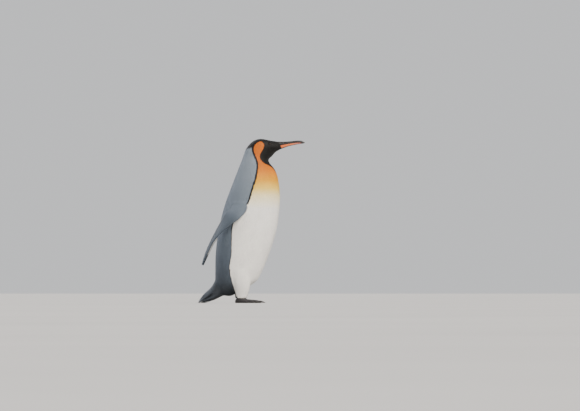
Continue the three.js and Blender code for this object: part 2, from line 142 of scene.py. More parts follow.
# Layers of tail quills: height in the wedge, how many, how wide in mm, and the stations of the wedge at
# which the middle and the outer ones end.
QUILL_LAYERS = [
    (-0.97, 12, 8.6, 3.75, 2.8), (-0.78, 13, 8.6, 3.95, 3.2), (-0.52, 12, 8.6, 4.0, 3.45),
    (-0.24, 13, 8.6, 4.0, 3.7), (-0.1, 10, 8.6, 4.0, 3.95), (0.05, 12, 8.6, 4.0, 3.8),
    (0.2, 11, 8.6, 4.0, 3.95), (0.34, 13, 8.6, 4.0, 3.7), (0.62, 12, 8.6, 4.0, 3.45),
    (0.84, 13, 8.4, 3.95, 3.1), (0.99, 14, 8.2, 3.75, 2.7),
]
QUILL = dict(start=0.35, across=0.92, inset=0.97, fan=1.6, camber=0.09, step=0.02)
QUILL_STRAY = dict(across=0.012, end=0.025, roll=0.02, tone=0.08)
TAIL_CORE = dict(start=-188.0, end=-232.0, sunk=7.0)  # where the flesh ends inside the quills, as x in mm
COVERT_END = -203.0

# The feet: where each ankle stands and how its toes lie, in mm and degrees, on the left.
FOOT_AT = (-54, 66)
FOOT_OUT = 9
TOES = [
    dict(start=(21, -10.5), turn=-20),
    dict(start=(25, 1), turn=-1),
    dict(start=(20, 11.5), turn=19),
    dict(start=(-4, -19), turn=-62),
]
SCUTE = dict(pitch=3.6, high=0.5, level=0.6, starts=(-8, 2), sides=(9, 5.5), facing=(0.2, 0.6))
SOLE = 0.6  # all that is lower than this lies flat on the floor
SMOOTHED = {  # the solids that are only smoothed, in mm: how fine, how often and how much swollen first
    "foot": dict(voxel=0.95, rounds=7, swell=0.1),
    "claw": dict(voxel=0.55, rounds=3, swell=0.3),
}

# Soft forms of the face: [x, y, z] on the left, radius and height in mm.
FACE = [(92, 25, 808, 9, 1.3), (117, 20, 797, 9, -1.4), (84, 33, 777, 13, 0.9)]
EYE_RADIUS = 9.0
EYE_CLEAR = 0.4  # no feather grows nearer than this to the eye
EYE_RIM = (11, 0.2)  # radius and height of the raised skin round each eye
# The lids are a ring on a sphere round the eye, in mm. Its two corners are drawn out, its upper half
# droops, and its lower half stands up out of the feathers.
LID = dict(
    ring=6.5, thick=1.0, on=9.25, wide=0.05, corner=0.7, sharp=14, droop=0.45, upper=0.25, lower=0.5
)


# ---------------------------------------------------------------- small tools
def linear(hex_colour):
    """An sRGB hex value as linear red, green and blue."""
    values = [int(hex_colour[i : i + 2], 16) / 255 for i in (1, 3, 5)]
    return [v / 12.92 if v <= 0.04045 else ((v + 0.055) / 1.055) ** 2.4 for v in values]


def colour(hex_colour):
    return (*linear(hex_colour), 1.0)


def select_nothing():
    bpy.ops.object.select_all(action="DESELECT")


def only(piece):
    """Makes a piece the only one selected, and the active one."""
    select_nothing()
    piece.select_set(True)
    bpy.context.view_layer.objects.active = piece


def primitive(name, add_it, **settings):
    """Adds a primitive with nothing else selected."""
    select_nothing()
    add_it(**settings)
    piece = bpy.context.active_object
    piece.name = name
    return piece


def edit(piece, step, everything=True):
    """Runs an edit-mode step on the whole of a piece, or on what is selected in it."""
    only(piece)
    bpy.ops.object.mode_set(mode="EDIT")
    if everything:
        bpy.ops.mesh.select_all(action="SELECT")
    step()
    bpy.ops.object.mode_set(mode="OBJECT")


def finish_with(piece, kind, **settings):
    """Adds a modifier and applies it."""
    only(piece)
    modifier = piece.modifiers.new(kind.lower(), kind)
    for name, value in settings.items():
        setattr(modifier, name, value)
    bpy.ops.object.modifier_apply(modifier=modifier.name)


def shade(piece, crease=None):
    """Smooth shading, broken only at creases sharper than an angle in degrees."""
    only(piece)
    if crease:
        bpy.ops.object.shade_smooth_by_angle(angle=math.radians(crease))
    else:
        bpy.ops.object.shade_smooth()


def swollen_copy(node, name, swell):
    """A welded copy of a solid, a little swollen, to be shaped further."""
    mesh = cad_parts[node].data.copy()
    mesh.materials.clear()
    piece = bpy.data.objects.new(name, mesh)
    bpy.context.scene.collection.objects.link(piece)
    edit(piece, lambda: bpy.ops.mesh.remove_doubles(threshold=WELD))
    finish_with(piece, "DISPLACE", strength=swell, mid_level=0.0)
    return piece


def face_outwards(piece):
    """Turns a closed piece's faces outwards, as its volume then tells."""
    edit(piece, lambda: bpy.ops.mesh.normals_make_consistent(inside=False))
    shape = bmesh.new()
    shape.from_mesh(piece.data)
    inside_out = shape.calc_volume(signed=True) < 0
    shape.free()
    if inside_out:
        edit(piece, bpy.ops.mesh.flip_normals)


def dress(piece, slot, material, *nodes):
    """Gives a finished piece its material, puts it under the root and hides the solids that it stands for;
    the slot is not used.
    """
    piece.data.materials.append(material)
    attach(piece, "root")
    if nodes:
        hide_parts(*nodes)


def read(items, field, size, kind=np.float32):
    """A field of a mesh's points, edges or triangles, as an array."""
    values = np.empty(len(items) * size, kind)
    items.foreach_get(field, values)
    return values.reshape(-1, size)


def points_of(mesh):
    return read(mesh.vertices, "co", 3).astype(np.float64)


def normals_of(mesh):
    return read(mesh.vertex_normals, "vector", 3).astype(np.float64)


def edges_of(mesh):
    return read(mesh.edges, "vertices", 2, np.int32)


def set_points(mesh, points):
    mesh.vertices.foreach_set("co", np.ascontiguousarray(points, np.float32).ravel())
    mesh.update()


def tree_of(mesh):
    corners = [vertex.co.copy() for vertex in mesh.vertices]
    return BVHTree.FromPolygons(corners, [tuple(face.vertices) for face in mesh.polygons])


def unit(vectors):
    length = np.linalg.norm(vectors, axis=-1, keepdims=True)
    return vectors / np.maximum(length, 1e-12)


def dot(first, second):
    return np.einsum("ij,ij->i", first, second)


def on_left(mm):
    """Places mirrored to the left side."""
    return np.stack([mm[:, 0], np.abs(mm[:, 1]), mm[:, 2]], axis=1)


def spread_out(values, edges, rounds, strength=0.5):
    """Smooths values over a mesh, each point towards the mean of its neighbours."""
    count = len(values)
    values = values.copy()
    strength = np.broadcast_to(np.asarray(strength, float), (count,))[:, None]
    a, b = edges.T
    near = np.bincount(a, minlength=count) + np.bincount(b, minlength=count)
    near = np.maximum(near, 1)[:, None]
    for _ in range(rounds):
        total = np.stack(
            [
                np.bincount(a, values[b, k], count) + np.bincount(b, values[a, k], count)
                for k in range(values.shape[1])
            ],
            axis=1,
        )
        values += strength * (total / near - values)
    return values


def smoothstep(low, high, value):
    t = np.clip((value - low) / (high - low), 0, 1)
    return t * t * (3 - 2 * t)


def mixed(first, second, share):
    share = np.asarray(share)[:, None]
    return np.asarray(first) * (1 - share) + np.asarray(second) * share


def rounded_line(points, steps, closed=False):
    """A smooth line through points, evenly bent however they are spaced."""
    points = [np.array(p, float) for p in points]
    count = len(points)
    line = []
    for i in range(count if closed else count - 1):
        p1, p2 = points[i], points[(i + 1) % count]
        p0 = points[i - 1] if closed or i else 2 * p1 - p2
        p3 = points[(i + 2) % count] if closed or i + 2 < count else 2 * p2 - p1
        d0, d1, d2 = (np.linalg.norm(v) ** 0.5 for v in (p1 - p0, p2 - p1, p3 - p2))
        m1 = ((p1 - p0) / d0 - (p2 - p0) / (d0 + d1) + (p2 - p1) / d1) * d1
        m2 = ((p2 - p1) / d1 - (p3 - p1) / (d1 + d2) + (p3 - p2) / d2) * d1
        for t in np.arange(steps) / steps:
            cubic = (2 * p1 - 2 * p2 + m1 + m2) * t**3 + (3 * p2 - 3 * p1 - 2 * m1 - m2) * t**2
            line.append(cubic + m1 * t + p1)
    if not closed:
        line.append(points[-1])
    return np.array(line)


def along_line(line, share):
    """The places at shares of the way along a line."""
    at = np.clip(share, 0, 1) * (len(line) - 1)
    steps = np.arange(len(line))
    return np.stack([np.interp(at, steps, line[:, k]) for k in range(line.shape[1])], axis=-1)


def signed_distance(points, outline):
    """How far 2-D points lie inside an outline, and below 0 outside it."""
    end = np.roll(outline, -1, axis=0)
    distance = np.full(len(points), np.inf)
    inside = np.zeros(len(points), bool)
    for s, e, r in zip(outline, end, end - outline):
        to = points - s
        t = np.clip((to @ r) / max(r @ r, 1e-12), 0, 1)
        distance = np.minimum(distance, np.linalg.norm(to - t[:, None] * r, axis=1))
        crosses = (s[1] > points[:, 1]) != (e[1] > points[:, 1])
        if r[1] != 0:
            at = s[0] + (points[:, 1] - s[1]) * r[0] / r[1]
            inside ^= crosses & (points[:, 0] < at)
    return np.where(inside, distance, -distance)


# ---------------------------------------------------------------- materials
def add_node(tree, kind, output=None, settings=None, **links):
    """Adds a node, sets its properties, inputs and colour stops, links its inputs, and gives an output."""
    node = tree.nodes.new("ShaderNode" + kind)
    for name, value in (settings or {}).items():
        if name == "stops":
            elements = node.color_ramp.elements
            while len(elements) < len(value):
                elements.new(0.5)
            for element, (place, hex_colour) in zip(elements, value):
                element.position = place
                element.color = colour(hex_colour)
        elif isinstance(name, str) and name.islower():
            setattr(node, name, value)
        else:
            node.inputs[name].default_value = value
    for name, socket in links.items():
        key = int(name[2:]) if name.startswith("in") else name.replace("_", " ")
        tree.links.new(socket, node.inputs[key])
    return node.outputs[output] if output else node


def new_material(lay_out):
    """A material, named like the function that lays out its nodes and gives its shader."""
    material = bpy.data.materials.new(lay_out.__name__)
    material.use_nodes = True
    material.node_tree.nodes.clear()
    add = partial(add_node, material.node_tree)
    add("OutputMaterial", Surface=lay_out(add))
    return material


def toned(add, tint, pattern, span, tones):
    """A colour made darker and lighter by a pattern that runs through a span of values."""
    settings = {"From Min": span[0], "From Max": span[1], "To Min": tones[0], "To Max": tones[1]}
    tone = add("MapRange", "Result", settings, Value=pattern)
    return add("VectorMath", "Vector", {"operation": "SCALE"}, in0=tint, Scale=tone)


NOISE_SPAN = (0.3, 0.7)  # between these lies nearly all that a noise gives
BARB_SLANT = 1.2
BARB_PITCH = 0.8  # mm: barbs lie 0.3 mm apart on the real bird, and are drawn wider to show at all
DOWN_CLUMP = 1.5 * MM
STREAKS = (60.0, 900.0, 900.0)  # to the metre: each is about 17 mm long and 1.1 mm wide
PLATE_SPAN = (0.13, 0.245)  # x in metres, from the base of the bright plate to its front
PLATE_MOTTLE = 2.5 * MM
FOOT_SCALE = 2.1 * MM
FOOT_PATCH = 9 * MM
CREASE = 0.16  # of a foot scale's width
IRIS_SPOKE = 0.5 * MM
LID_WRINKLE = 0.6 * MM


def contour_feathers(add):
    """Contour feathers: matt, faintly silky, with fine barbs slanting from each shaft to the edges."""
    plumage = add("Attribute", "Color", {"attribute_name": "plumage"})
    vane = add("UVMap", "UV", {"uv_map": "vane"})
    across = add("SeparateXYZ", "X", Vector=vane)
    along = add("SeparateXYZ", "Y", Vector=vane)
    half = add("Math", "Value", {"operation": "ABSOLUTE"}, in0=across)
    slant = add("Math", "Value", {"operation": "MULTIPLY_ADD", 1: -BARB_SLANT}, in0=half, in2=along)
    barbs = add("Math", "Value", {"operation": "MULTIPLY", 1: 2 * math.pi / BARB_PITCH}, in0=slant)
    wave = add("Math", "Value", {"operation": "SINE"}, in0=barbs)
    tint = toned(add, plumage, wave, (-1.0, 1.0), (0.9, 1.06))
    bump = add("Bump", "Normal", {"Strength": 0.35, "Distance": 0.15 * MM}, Height=wave)
    silk = {"Roughness": 0.6, "IOR": 1.5, "Specular IOR Level": 0.25}
    silk |= {"Sheen Weight": 0.05, "Sheen Roughness": 0.5}
    return add("BsdfPrincipled", "BSDF", silk, Base_Color=tint, Normal=bump)


def down_on_skin_with_painted_shade(add):
    """Skin with down in clumps between the feathers, quite matt: the plumage's own colours, darkened all
    over by painted shade for the gaps between feathers, more in some clumps than in others.
    """
    plumage = add("Attribute", "Color", {"attribute_name": "plumage"})
    place = add("TexCoord", "Object")
    clumps = add("TexNoise", "Fac", {"Scale": 1 / DOWN_CLUMP, "Detail": 3.0}, Vector=place)
    # Painted shade: the skin shows only in the gaps between feathers, so its colour is darkened to 0.72 to
    # 0.95 of the plumage's, following the clumps.
    tint = toned(add, plumage, clumps, NOISE_SPAN, (0.72, 0.95))
    bump = add("Bump", "Normal", {"Strength": 0.5, "Distance": 0.4 * MM}, Height=clumps)
    matt = {"Roughness": 0.8, "Specular IOR Level": 0.2}
    return add("BsdfPrincipled", "BSDF", matt, Base_Color=tint, Normal=bump)


def dark_keratin(add):
    """Keratin of the bill and claws: near black, satin, with faint growth streaks along its length."""
    place = add("TexCoord", "Object")
    stretch = add("Mapping", "Vector", {"Scale": STREAKS}, Vector=place)
    streaks = add("TexNoise", "Fac", {"Scale": 1.0, "Detail": 4.0, "Roughness": 0.6}, Vector=stretch)
    stops = [(0.3, "#12100F"), (0.62, "#211D1B"), (0.8, "#332C28")]
    tint = add("ValToRGB", "Color", {"stops": stops}, Fac=streaks)
    low, high = NOISE_SPAN
    worn = {"From Min": low, "From Max": high, "To Min": 0.28, "To Max": 0.42}
    rough = add("MapRange", "Result", worn, Value=streaks)
    bump = add("Bump", "Normal", {"Strength": 0.25, "Distance": 0.15 * MM}, Height=streaks)
    satin = {"IOR": 1.54, "Specular IOR Level": 0.5}
    return add("BsdfPrincipled", "BSDF", satin, Base_Color=tint, Roughness=rough, Normal=bump)


def orange_keratin(add):
    """The bright plate on the lower bill: smooth waxy keratin, orange at the base and pinker in front."""
    place = add("TexCoord", "Object")
    along = add("SeparateXYZ", "X", Vector=place)
    base, front = PLATE_SPAN
    share = add("MapRange", "Result", {"From Min": base, "From Max": front}, Value=along)
    stops = [(0.0, "#E3641F"), (0.5, "#EC7C3C"), (1.0, "#C9776A")]
    tint = add("ValToRGB", "Color", {"stops": stops}, Fac=share)
    mottle = add("TexNoise", "Fac", {"Scale": 1 / PLATE_MOTTLE, "Detail": 3.0}, Vector=place)
    tint = toned(add, tint, mottle, NOISE_SPAN, (0.9, 1.06))
    wax = {"Roughness": 0.32, "IOR": 1.54, "Coat Weight": 0.2, "Coat Roughness": 0.2}
    return add("BsdfPrincipled", "BSDF", wax, Base_Color=tint)


def scaled_foot_skin(add):
    """Bare foot skin: dark grey, dry and leathery, in small raised scales, with painted shade darkening the
    creases between them.
    """
    place = add("TexCoord", "Object")
    cells = {"feature": "DISTANCE_TO_EDGE", "Scale": 1 / FOOT_SCALE}
    scales = add("TexVoronoi", "Distance", cells, Vector=place)
    patches = add("TexNoise", "Fac", {"Scale": 1 / FOOT_PATCH, "Detail": 4.0}, Vector=place)
    raised = add("MapRange", "Result", {"From Min": 0.0, "From Max": CREASE}, Value=scales)
    stops = [(0.3, "#232224"), (0.55, "#343235"), (0.75, "#474244")]
    tint = add("ValToRGB", "Color", {"stops": stops}, Fac=patches)
    # Painted shade: the colour is darkened towards the creases between the scales, down to 0.62 of it.
    tint = toned(add, tint, raised, (0.0, 1.0), (0.62, 1.05))
    bump = add("Bump", "Normal", {"Strength": 0.8, "Distance": 0.35 * MM}, Height=raised)
    leather = {"Roughness": 0.55, "Specular IOR Level": 0.4}
    return add("BsdfPrincipled", "BSDF", leather, Base_Color=tint, Normal=bump)


def wet_eye(add):
    """A wet eye: a black pupil in a dark brown iris with fine spokes, under a clear glossy cornea."""
    gaze = add("Attribute", "Fac", {"attribute_name": "gaze"})
    place = add("TexCoord", "Object")
    spokes = add("TexNoise", "Fac", {"Scale": 1 / IRIS_SPOKE, "Detail": 2.0}, Vector=place)
    wobble = add("Math", "Value", {"operation": "MULTIPLY_ADD", 1: 0.05}, in0=spokes, in2=gaze)
    stops = [(0.0, "#030202"), (0.34, "#040303"), (0.38, "#28150C"), (0.58, "#1D0F08"), (0.7, "#0A0605")]
    tint = add("ValToRGB", "Color", {"stops": stops}, Fac=wobble)
    wet = {"Roughness": 0.2, "IOR": 1.38, "Specular IOR Level": 0.1}
    wet |= {"Coat Weight": 0.3, "Coat Roughness": 0.02}
    return add("BsdfPrincipled", "BSDF", wet, Base_Color=tint)


def eyelid_skin(add):
    """Eyelid skin: black, soft and finely wrinkled."""
    place = add("TexCoord", "Object")
    wrinkles = add("TexNoise", "Fac", {"Scale": 1 / LID_WRINKLE, "Detail": 3.0}, Vector=place)
    tint = add("ValToRGB", "Color", {"stops": [(0.3, "#0B0A09"), (0.7, "#1B1816")]}, Fac=wrinkles)
    bump = add("Bump", "Normal", {"Strength": 0.4, "Distance": 0.15 * MM}, Height=wrinkles)
    soft = {"Roughness": 0.6, "Specular IOR Level": 0.3}
    return add("BsdfPrincipled", "BSDF", soft, Base_Color=tint, Normal=bump)


def painted_floor(add):
    """A pale matt painted studio floor with very faint unevenness, about a metre across."""
    cloud = add("TexNoise", "Fac", {"Scale": 0.9, "Detail": 3.0}, Vector=add("TexCoord", "Object"))
    tint = add("ValToRGB", "Color", {"stops": [(0.3, "#B9B7B4"), (0.7, "#BFBDBA")]}, Fac=cloud)
    matt = {"Roughness": 0.85, "Specular IOR Level": 0.2}
    return add("BsdfPrincipled", "BSDF", matt, Base_Color=tint)


FEATHERS = new_material(contour_feathers)
SKIN = new_material(down_on_skin_with_painted_shade)
HORN = new_material(dark_keratin)
PLATE = new_material(orange_keratin)
FOOT = new_material(scaled_foot_skin)
EYE = new_material(wet_eye)
EYELID = new_material(eyelid_skin)


# ---------------------------------------------------------------- flipper frame
def flipper_frame():
    """Along the left flipper: its middle, run, ways to the leading edge and out, and half widths."""
    middles = rounded_line([s["at"] for s in FLIPPER_BLADE], steps=12)
    rest = rounded_line([(s["lead"], s["trail"], s["turn"]) for s in FLIPPER_BLADE], steps=12)
    run = unit(np.gradient(middles, axis=0))
    out = unit(np.array([0.0, 1.0, 0.0]) - run * run[:, 1:2])
    front = unit(np.cross(out, run))
    front[front[:, 0] < 0] *= -1
    turn = np.radians(rest[:, 2])[:, None]
    to_lead = out * np.cos(turn) + front * np.sin(turn)
    dark_side = out * np.sin(turn) - front * np.cos(turn)
    return middles, run, to_lead, dark_side, rest[:, 0], rest[:, 1]


BLADE_MIDDLE, BLADE_RUN, BLADE_LEAD, BLADE_OUT, LEAD_HALF, TRAIL_HALF = flipper_frame()


def on_blade(mm):
    """Places on a flipper: share of its length, share of its width (1 at the leading edge), and station."""
    left = on_left(mm)
    best = np.full(len(mm), np.inf)
    index = np.zeros(len(mm), int)
    for i, middle in enumerate(BLADE_MIDDLE):
        off = np.abs((left - middle) @ BLADE_RUN[i])
        nearer = off < best
        best[nearer] = off[nearer]
        index[nearer] = i
    width = dot(left - BLADE_MIDDLE[index], BLADE_LEAD[index])
    half = np.where(width > 0, LEAD_HALF[index], TRAIL_HALF[index])
    return index / (len(BLADE_MIDDLE) - 1), width / half, index


# ---------------------------------------------------------------- markings
# The pale front with the ear patches, seen from the side: [x, z] in mm.
PALE_OUTLINE = rounded_line(
    [
        (44, 806), (30, 800), (19, 790), (13, 776), (13, 760), (19, 742), (26, 725), (32, 708),
        (35, 690), (34, 665), (30, 640), (22, 605), (12, 577), (0, 535), (-13, 496), (-36, 475),
        (-66, 440), (-86, 400), (-93, 365), (-97, 240), (-106, 180), (-97, 118), (-79, 60),
        (-60, 20), (200, 20), (200, 642), (130, 639), (121, 654), (107, 672), (86, 686), (64, 697),
        (50, 708), (43, 722), (42, 736), (47, 750), (56, 764), (62, 778), (63, 790), (56, 802),
    ],
    steps=4,
    closed=True,
)
PALE_SOFT = 0.8  # mm over which its edge blends
PALE_BASE = 0.93  # a pale feather's base against its tip
# The black line that edges it: how wide it is in mm, at each height in mm.
EDGE_HEIGHTS = [110, 240, 365, 500, 600]
EDGE_WIDTHS = [1.0, 2.5, 4.0, 8.0, 9.0]
EDGE_FADE = (2.0, -0.5)  # mm past its width, between which it fades away

# Colours down the body, each at its height in mm.
PALE_STOPS = [
    (470, "#F7F5F0"), (530, "#F8EBBE"), (572, "#F3CD58"), (612, "#E6A208"), (655, "#D97D00"),
    (700, "#C96500"),
]
BACK_BASES = [(60, "#282D33"), (200, "#434C57"), (400, "#515B67"), (700, "#636D78")]
BACK_TIPS = [
    (60, "#333940"), (110, "#4B545E"), (200, "#5C6672"), (400, "#76828F"), (600, "#84909C"),
    (700, "#9AA5B0"),
]
# The other colours, each at a feather's base and at its tip.
PLUMES = {
    "border": ("#101113", "#101113"),
    "hood": ("#0C0B09", "#0C0B09"),
    "tail": ("#23272C", "#3A4048"),
    "flipper_slate": ("#38414B", "#505B66"),
    "flipper_white": ("#DDDBD6", "#F1EFEA"),
    "flipper_rear": ("#E4E3DF", "#E9E8E4"),
}
HOOD = dict(height=768, rise=0.25, over=-30, fade=(-7, 5))  # its lower edge at the nape, in mm
THROAT = dict(behind=38, soft=2, height=(630, 636))
# Where each marking of the flipper fades in, as shares of its length or width.
FADES = dict(
    flipper=(0.3, 0.7), outside=(-0.12, 0.12), lead=(0.78, 0.9), tip=(0.8, 0.87), shoulder=(0.34, 0.14),
    armpit_along=(0.44, 0.38), armpit=(-0.55, -0.7), rear_along=(0.3, 0.45), rear=(-0.8, -0.86),
)


def by_height(z, stops):
    places = [place for place, _ in stops]
    values = np.array([linear(value) for _, value in stops])
    return np.stack([np.interp(z, places, values[:, k]) for k in range(3)], axis=1)


def painted(under, over, share):
    """A pair of base and tip colours with another pair laid over it."""
    return [mixed(low, high, share) for low, high in zip(under, over)]


def plumage(points, normals, share):
    """The colours of the coat at points: at each feather's base and at its tip."""
    mm = points / MM
    x, y, z = mm.T
    plumes = {name: [linear(value) for value in pair] for name, pair in PLUMES.items()}
    inside = signed_distance(mm[:, [0, 2]], PALE_OUTLINE)
    pale = by_height(z, PALE_STOPS)
    back = [by_height(z, BACK_BASES), by_height(z, BACK_TIPS)]

    # A black line edges the silvery back, and the black hood and throat fade into it.
    edge = np.interp(z, EDGE_HEIGHTS, EDGE_WIDTHS)
    edge = smoothstep(edge + EDGE_FADE[0], edge + EDGE_FADE[1], -inside)
    hood = smoothstep(*HOOD["fade"], z - (HOOD["height"] + HOOD["rise"] * (x - HOOD["over"])))
    throat = smoothstep(-THROAT["soft"], THROAT["soft"], x - THROAT["behind"])
    throat *= smoothstep(*THROAT["height"], z)
    coat = painted(back, plumes["border"], edge)
    coat = painted(coat, plumes["hood"], np.maximum(hood, throat))
    coat = painted(coat, (pale * PALE_BASE, pale), smoothstep(-PALE_SOFT, PALE_SOFT, inside))
    coat = painted(coat, plumes["tail"], share[:, TAIL])

    # Flippers: slate outside with a pale rear edge, white inside with a dark front edge, tip and armpit.
    length, width, index = on_blade(mm)
    facing = BLADE_OUT[index].copy()
    facing[:, 1] *= np.sign(y)
    tip = smoothstep(*FADES["tip"], length)
    armpit = smoothstep(*FADES["armpit_along"], length) * smoothstep(*FADES["armpit"], width)
    dark = smoothstep(*FADES["outside"], dot(facing, normals))
    for also_dark in (smoothstep(*FADES["lead"], width), tip, armpit):
        dark = np.maximum(dark, also_dark)
    rear = smoothstep(*FADES["rear"], width) * (1 - tip) * smoothstep(*FADES["rear_along"], length)
    slate = painted(plumes["flipper_slate"], back, smoothstep(*FADES["shoulder"], length))
    flipper = painted(plumes["flipper_white"], slate, dark)
    flipper = painted(flipper, plumes["flipper_rear"], rear)
    return painted(coat, flipper, smoothstep(*FADES["flipper"], share[:, FLIPPER]))


# ---------------------------------------------------------------- bill
BILL_MESH = dict(around=64, rings=150, crease=40)
PLATE_MESH = dict(around=24, rings=60, flat_across=0.8, flat_out=0.6, pointed=4, blunt=0.004)
GROOVE_ENDS = dict(length=0.12, least=0.25, side=(0.2, 0.5))

culmen_line, gape_line, keel_line = (
    rounded_line([(x, 0, z) for x, z in points], steps=40) for points in (CULMEN, GAPE, KEEL)
)


def signed_power(value, power):
    return np.sign(value) * np.abs(value) ** power


def ringed_tube(name, around, rings):
    """A closed tube from a cylinder cut into rings: each point's angle, share along and share out."""
    piece = primitive(
        name, bpy.ops.mesh.primitive_cylinder_add,
        vertices=around, radius=1, depth=1, end_fill_type="TRIFAN", location=(0, 0, 0),
    )
    mesh = piece.data
    bpy.ops.object.mode_set(mode="EDIT")
    bpy.ops.mesh.select_mode(type="EDGE")
    bpy.ops.mesh.select_all(action="DESELECT")
    bpy.ops.object.mode_set(mode="OBJECT")
    for edge in mesh.edges:
        a, b = (mesh.vertices[i].co for i in edge.vertices)
        edge.select = abs(a.z - b.z) > 0.5  # only the edges that run along it
    edit(piece, lambda: bpy.ops.mesh.subdivide(number_cuts=rings - 2), everything=False)
    x, y, z = points_of(mesh).T
    return piece, np.arctan2(y, x), z + 0.5, np.hypot(x, y)


def bill_frame(outer, share):
    """Along half of the bill: its middle on the parting line, the way out, its reach and half its width."""
    middle = along_line(gape_line, share)
    out = along_line(outer, share) - middle
    reach = np.linalg.norm(out, axis=1, keepdims=True)
    out = out / reach
    middle = middle + out * BILL_PARTING
    reach = np.maximum(reach[:, 0] - BILL_PARTING, BILL_THINNEST)
    half = BILL_HALF["base"] + (BILL_HALF["tip"] - BILL_HALF["base"]) * share ** BILL_HALF["taper"]
    return middle, out, reach, half * np.sqrt(BILL_HALF["blunt"] - share ** BILL_HALF["end"])


def pressed_line(points, normals, line):
    """Presses a narrow groove into both sides of the bill."""
    start, end = np.array(line["start"]), np.array(line["end"])
    run = end - start
    to = points[:, [0, 2]] - start
    t = np.clip(to @ run / (run @ run), 0, 1)
    away = np.linalg.norm(to - t[:, None] * run, axis=1)
    ends = smoothstep(0, GROOVE_ENDS["length"], t) * smoothstep(1, 1 - GROOVE_ENDS["length"], t)
    depth = GROOVE_ENDS["least"] + (1 - GROOVE_ENDS["least"]) * ends
    press = line["deep"] * np.exp(-((away / line["wide"]) ** 2)) * depth
    press *= smoothstep(*GROOVE_ENDS["side"], np.abs(normals[:, 1]))
    return points - normals * press[:, None]


def bill_half(name, outer, grooves):
    piece, angle, share, radial = ringed_tube(name, BILL_MESH["around"], BILL_MESH["rings"])
    middle, out, reach, half = bill_frame(outer, share)
    if outer is keel_line:
        reach = reach * np.sqrt(1 - KEEL_END["blunt"] * share ** KEEL_END["power"])
    above = np.sin(angle) > 0
    u = signed_power(np.maximum(np.sin(angle), 0), BILL_ROUND)
    v = np.where(above, signed_power(np.cos(angle), BILL_ROUND), np.cos(angle))
    hollow = np.where(above, 0, GAPE_HOLLOW * np.sin(angle) ** 2)
    points = middle + out * ((u + hollow) * radial * reach)[:, None]
    points[:, 1] += v * radial * half
    set_points(piece.data, points * MM)
    face_outwards(piece)
    normals = normals_of(piece.data)
    points = points_of(piece.data) / MM
    for groove in grooves:
        points = pressed_line(points, normals, groove)
    set_points(piece.data, points * MM)
    shade(piece, BILL_MESH["crease"])
    return piece


def bill_plate(name, side):
    band = PLATE_BAND
    piece, angle, share, radial = ringed_tube(name, PLATE_MESH["around"], PLATE_MESH["rings"])
    middle, out, reach, half = bill_frame(keel_line, band["start"] + (band["end"] - band["start"]) * share)
    narrow = np.sqrt(np.maximum(PLATE_MESH["blunt"], 1 - share ** PLATE_MESH["pointed"]))
    across = signed_power(np.cos(angle), PLATE_MESH["flat_across"]) * radial
    depth = signed_power(np.sin(angle), PLATE_MESH["flat_out"]) * radial
    depth = np.where(depth > 0, depth * band["proud"], depth * band["sunk"])
    turn = (band["low"] + band["high"]) / 2 + across * narrow * (band["high"] - band["low"]) / 2
    turn = np.radians(turn)
    points = middle + out * (np.sin(turn) * (reach + depth))[:, None]
    points[:, 1] += np.cos(turn) * (half + depth) * side
    set_points(piece.data, points * MM)
    face_outwards(piece)
    shade(piece)
    return piece


bill_halves = {
    "bill_upper": bill_half("upper_bill_horn", culmen_line, [NOSTRIL, BILL_GROOVE]),
    "bill_lower": bill_half("lower_bill_horn", keel_line, []),
}
for node, piece in bill_halves.items():
    dress(piece, "dark_horn", HORN, node)
for side_name, side in SIDES.items():
    dress(bill_plate(f"{side_name}_bill_plate", side), "bright_horn", PLATE, f"bill_plate_{side_name}")


# ---------------------------------------------------------------- skin
def flesh_nodes():
    nodes = {"trunk": TRUNK, "neck": NECK, "head": HEAD, "tail": TAIL}
    for side in SIDES:
        nodes[f"leg_{side}"] = LEG
        nodes[f"flipper_{side}"] = FLIPPER
    return nodes


def blended(share, size):
    """One of the coat's sizes in mm, blended where parts meet."""
    return share @ [COAT[part][size] for part in PARTS]


def part_finder(nodes):
    """A tree of every solid's faces, and which part each face belongs to."""
    corners, faces, owner = [], [], []
    for node, part in nodes.items():
        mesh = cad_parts[node].data
        start = len(corners)
        corners += [v.co.copy() for v in mesh.vertices]
        for polygon in mesh.polygons:
            faces.append([start + i for i in polygon.vertices])
            owner.append(part)
    return BVHTree.FromPolygons(corners, faces), owner


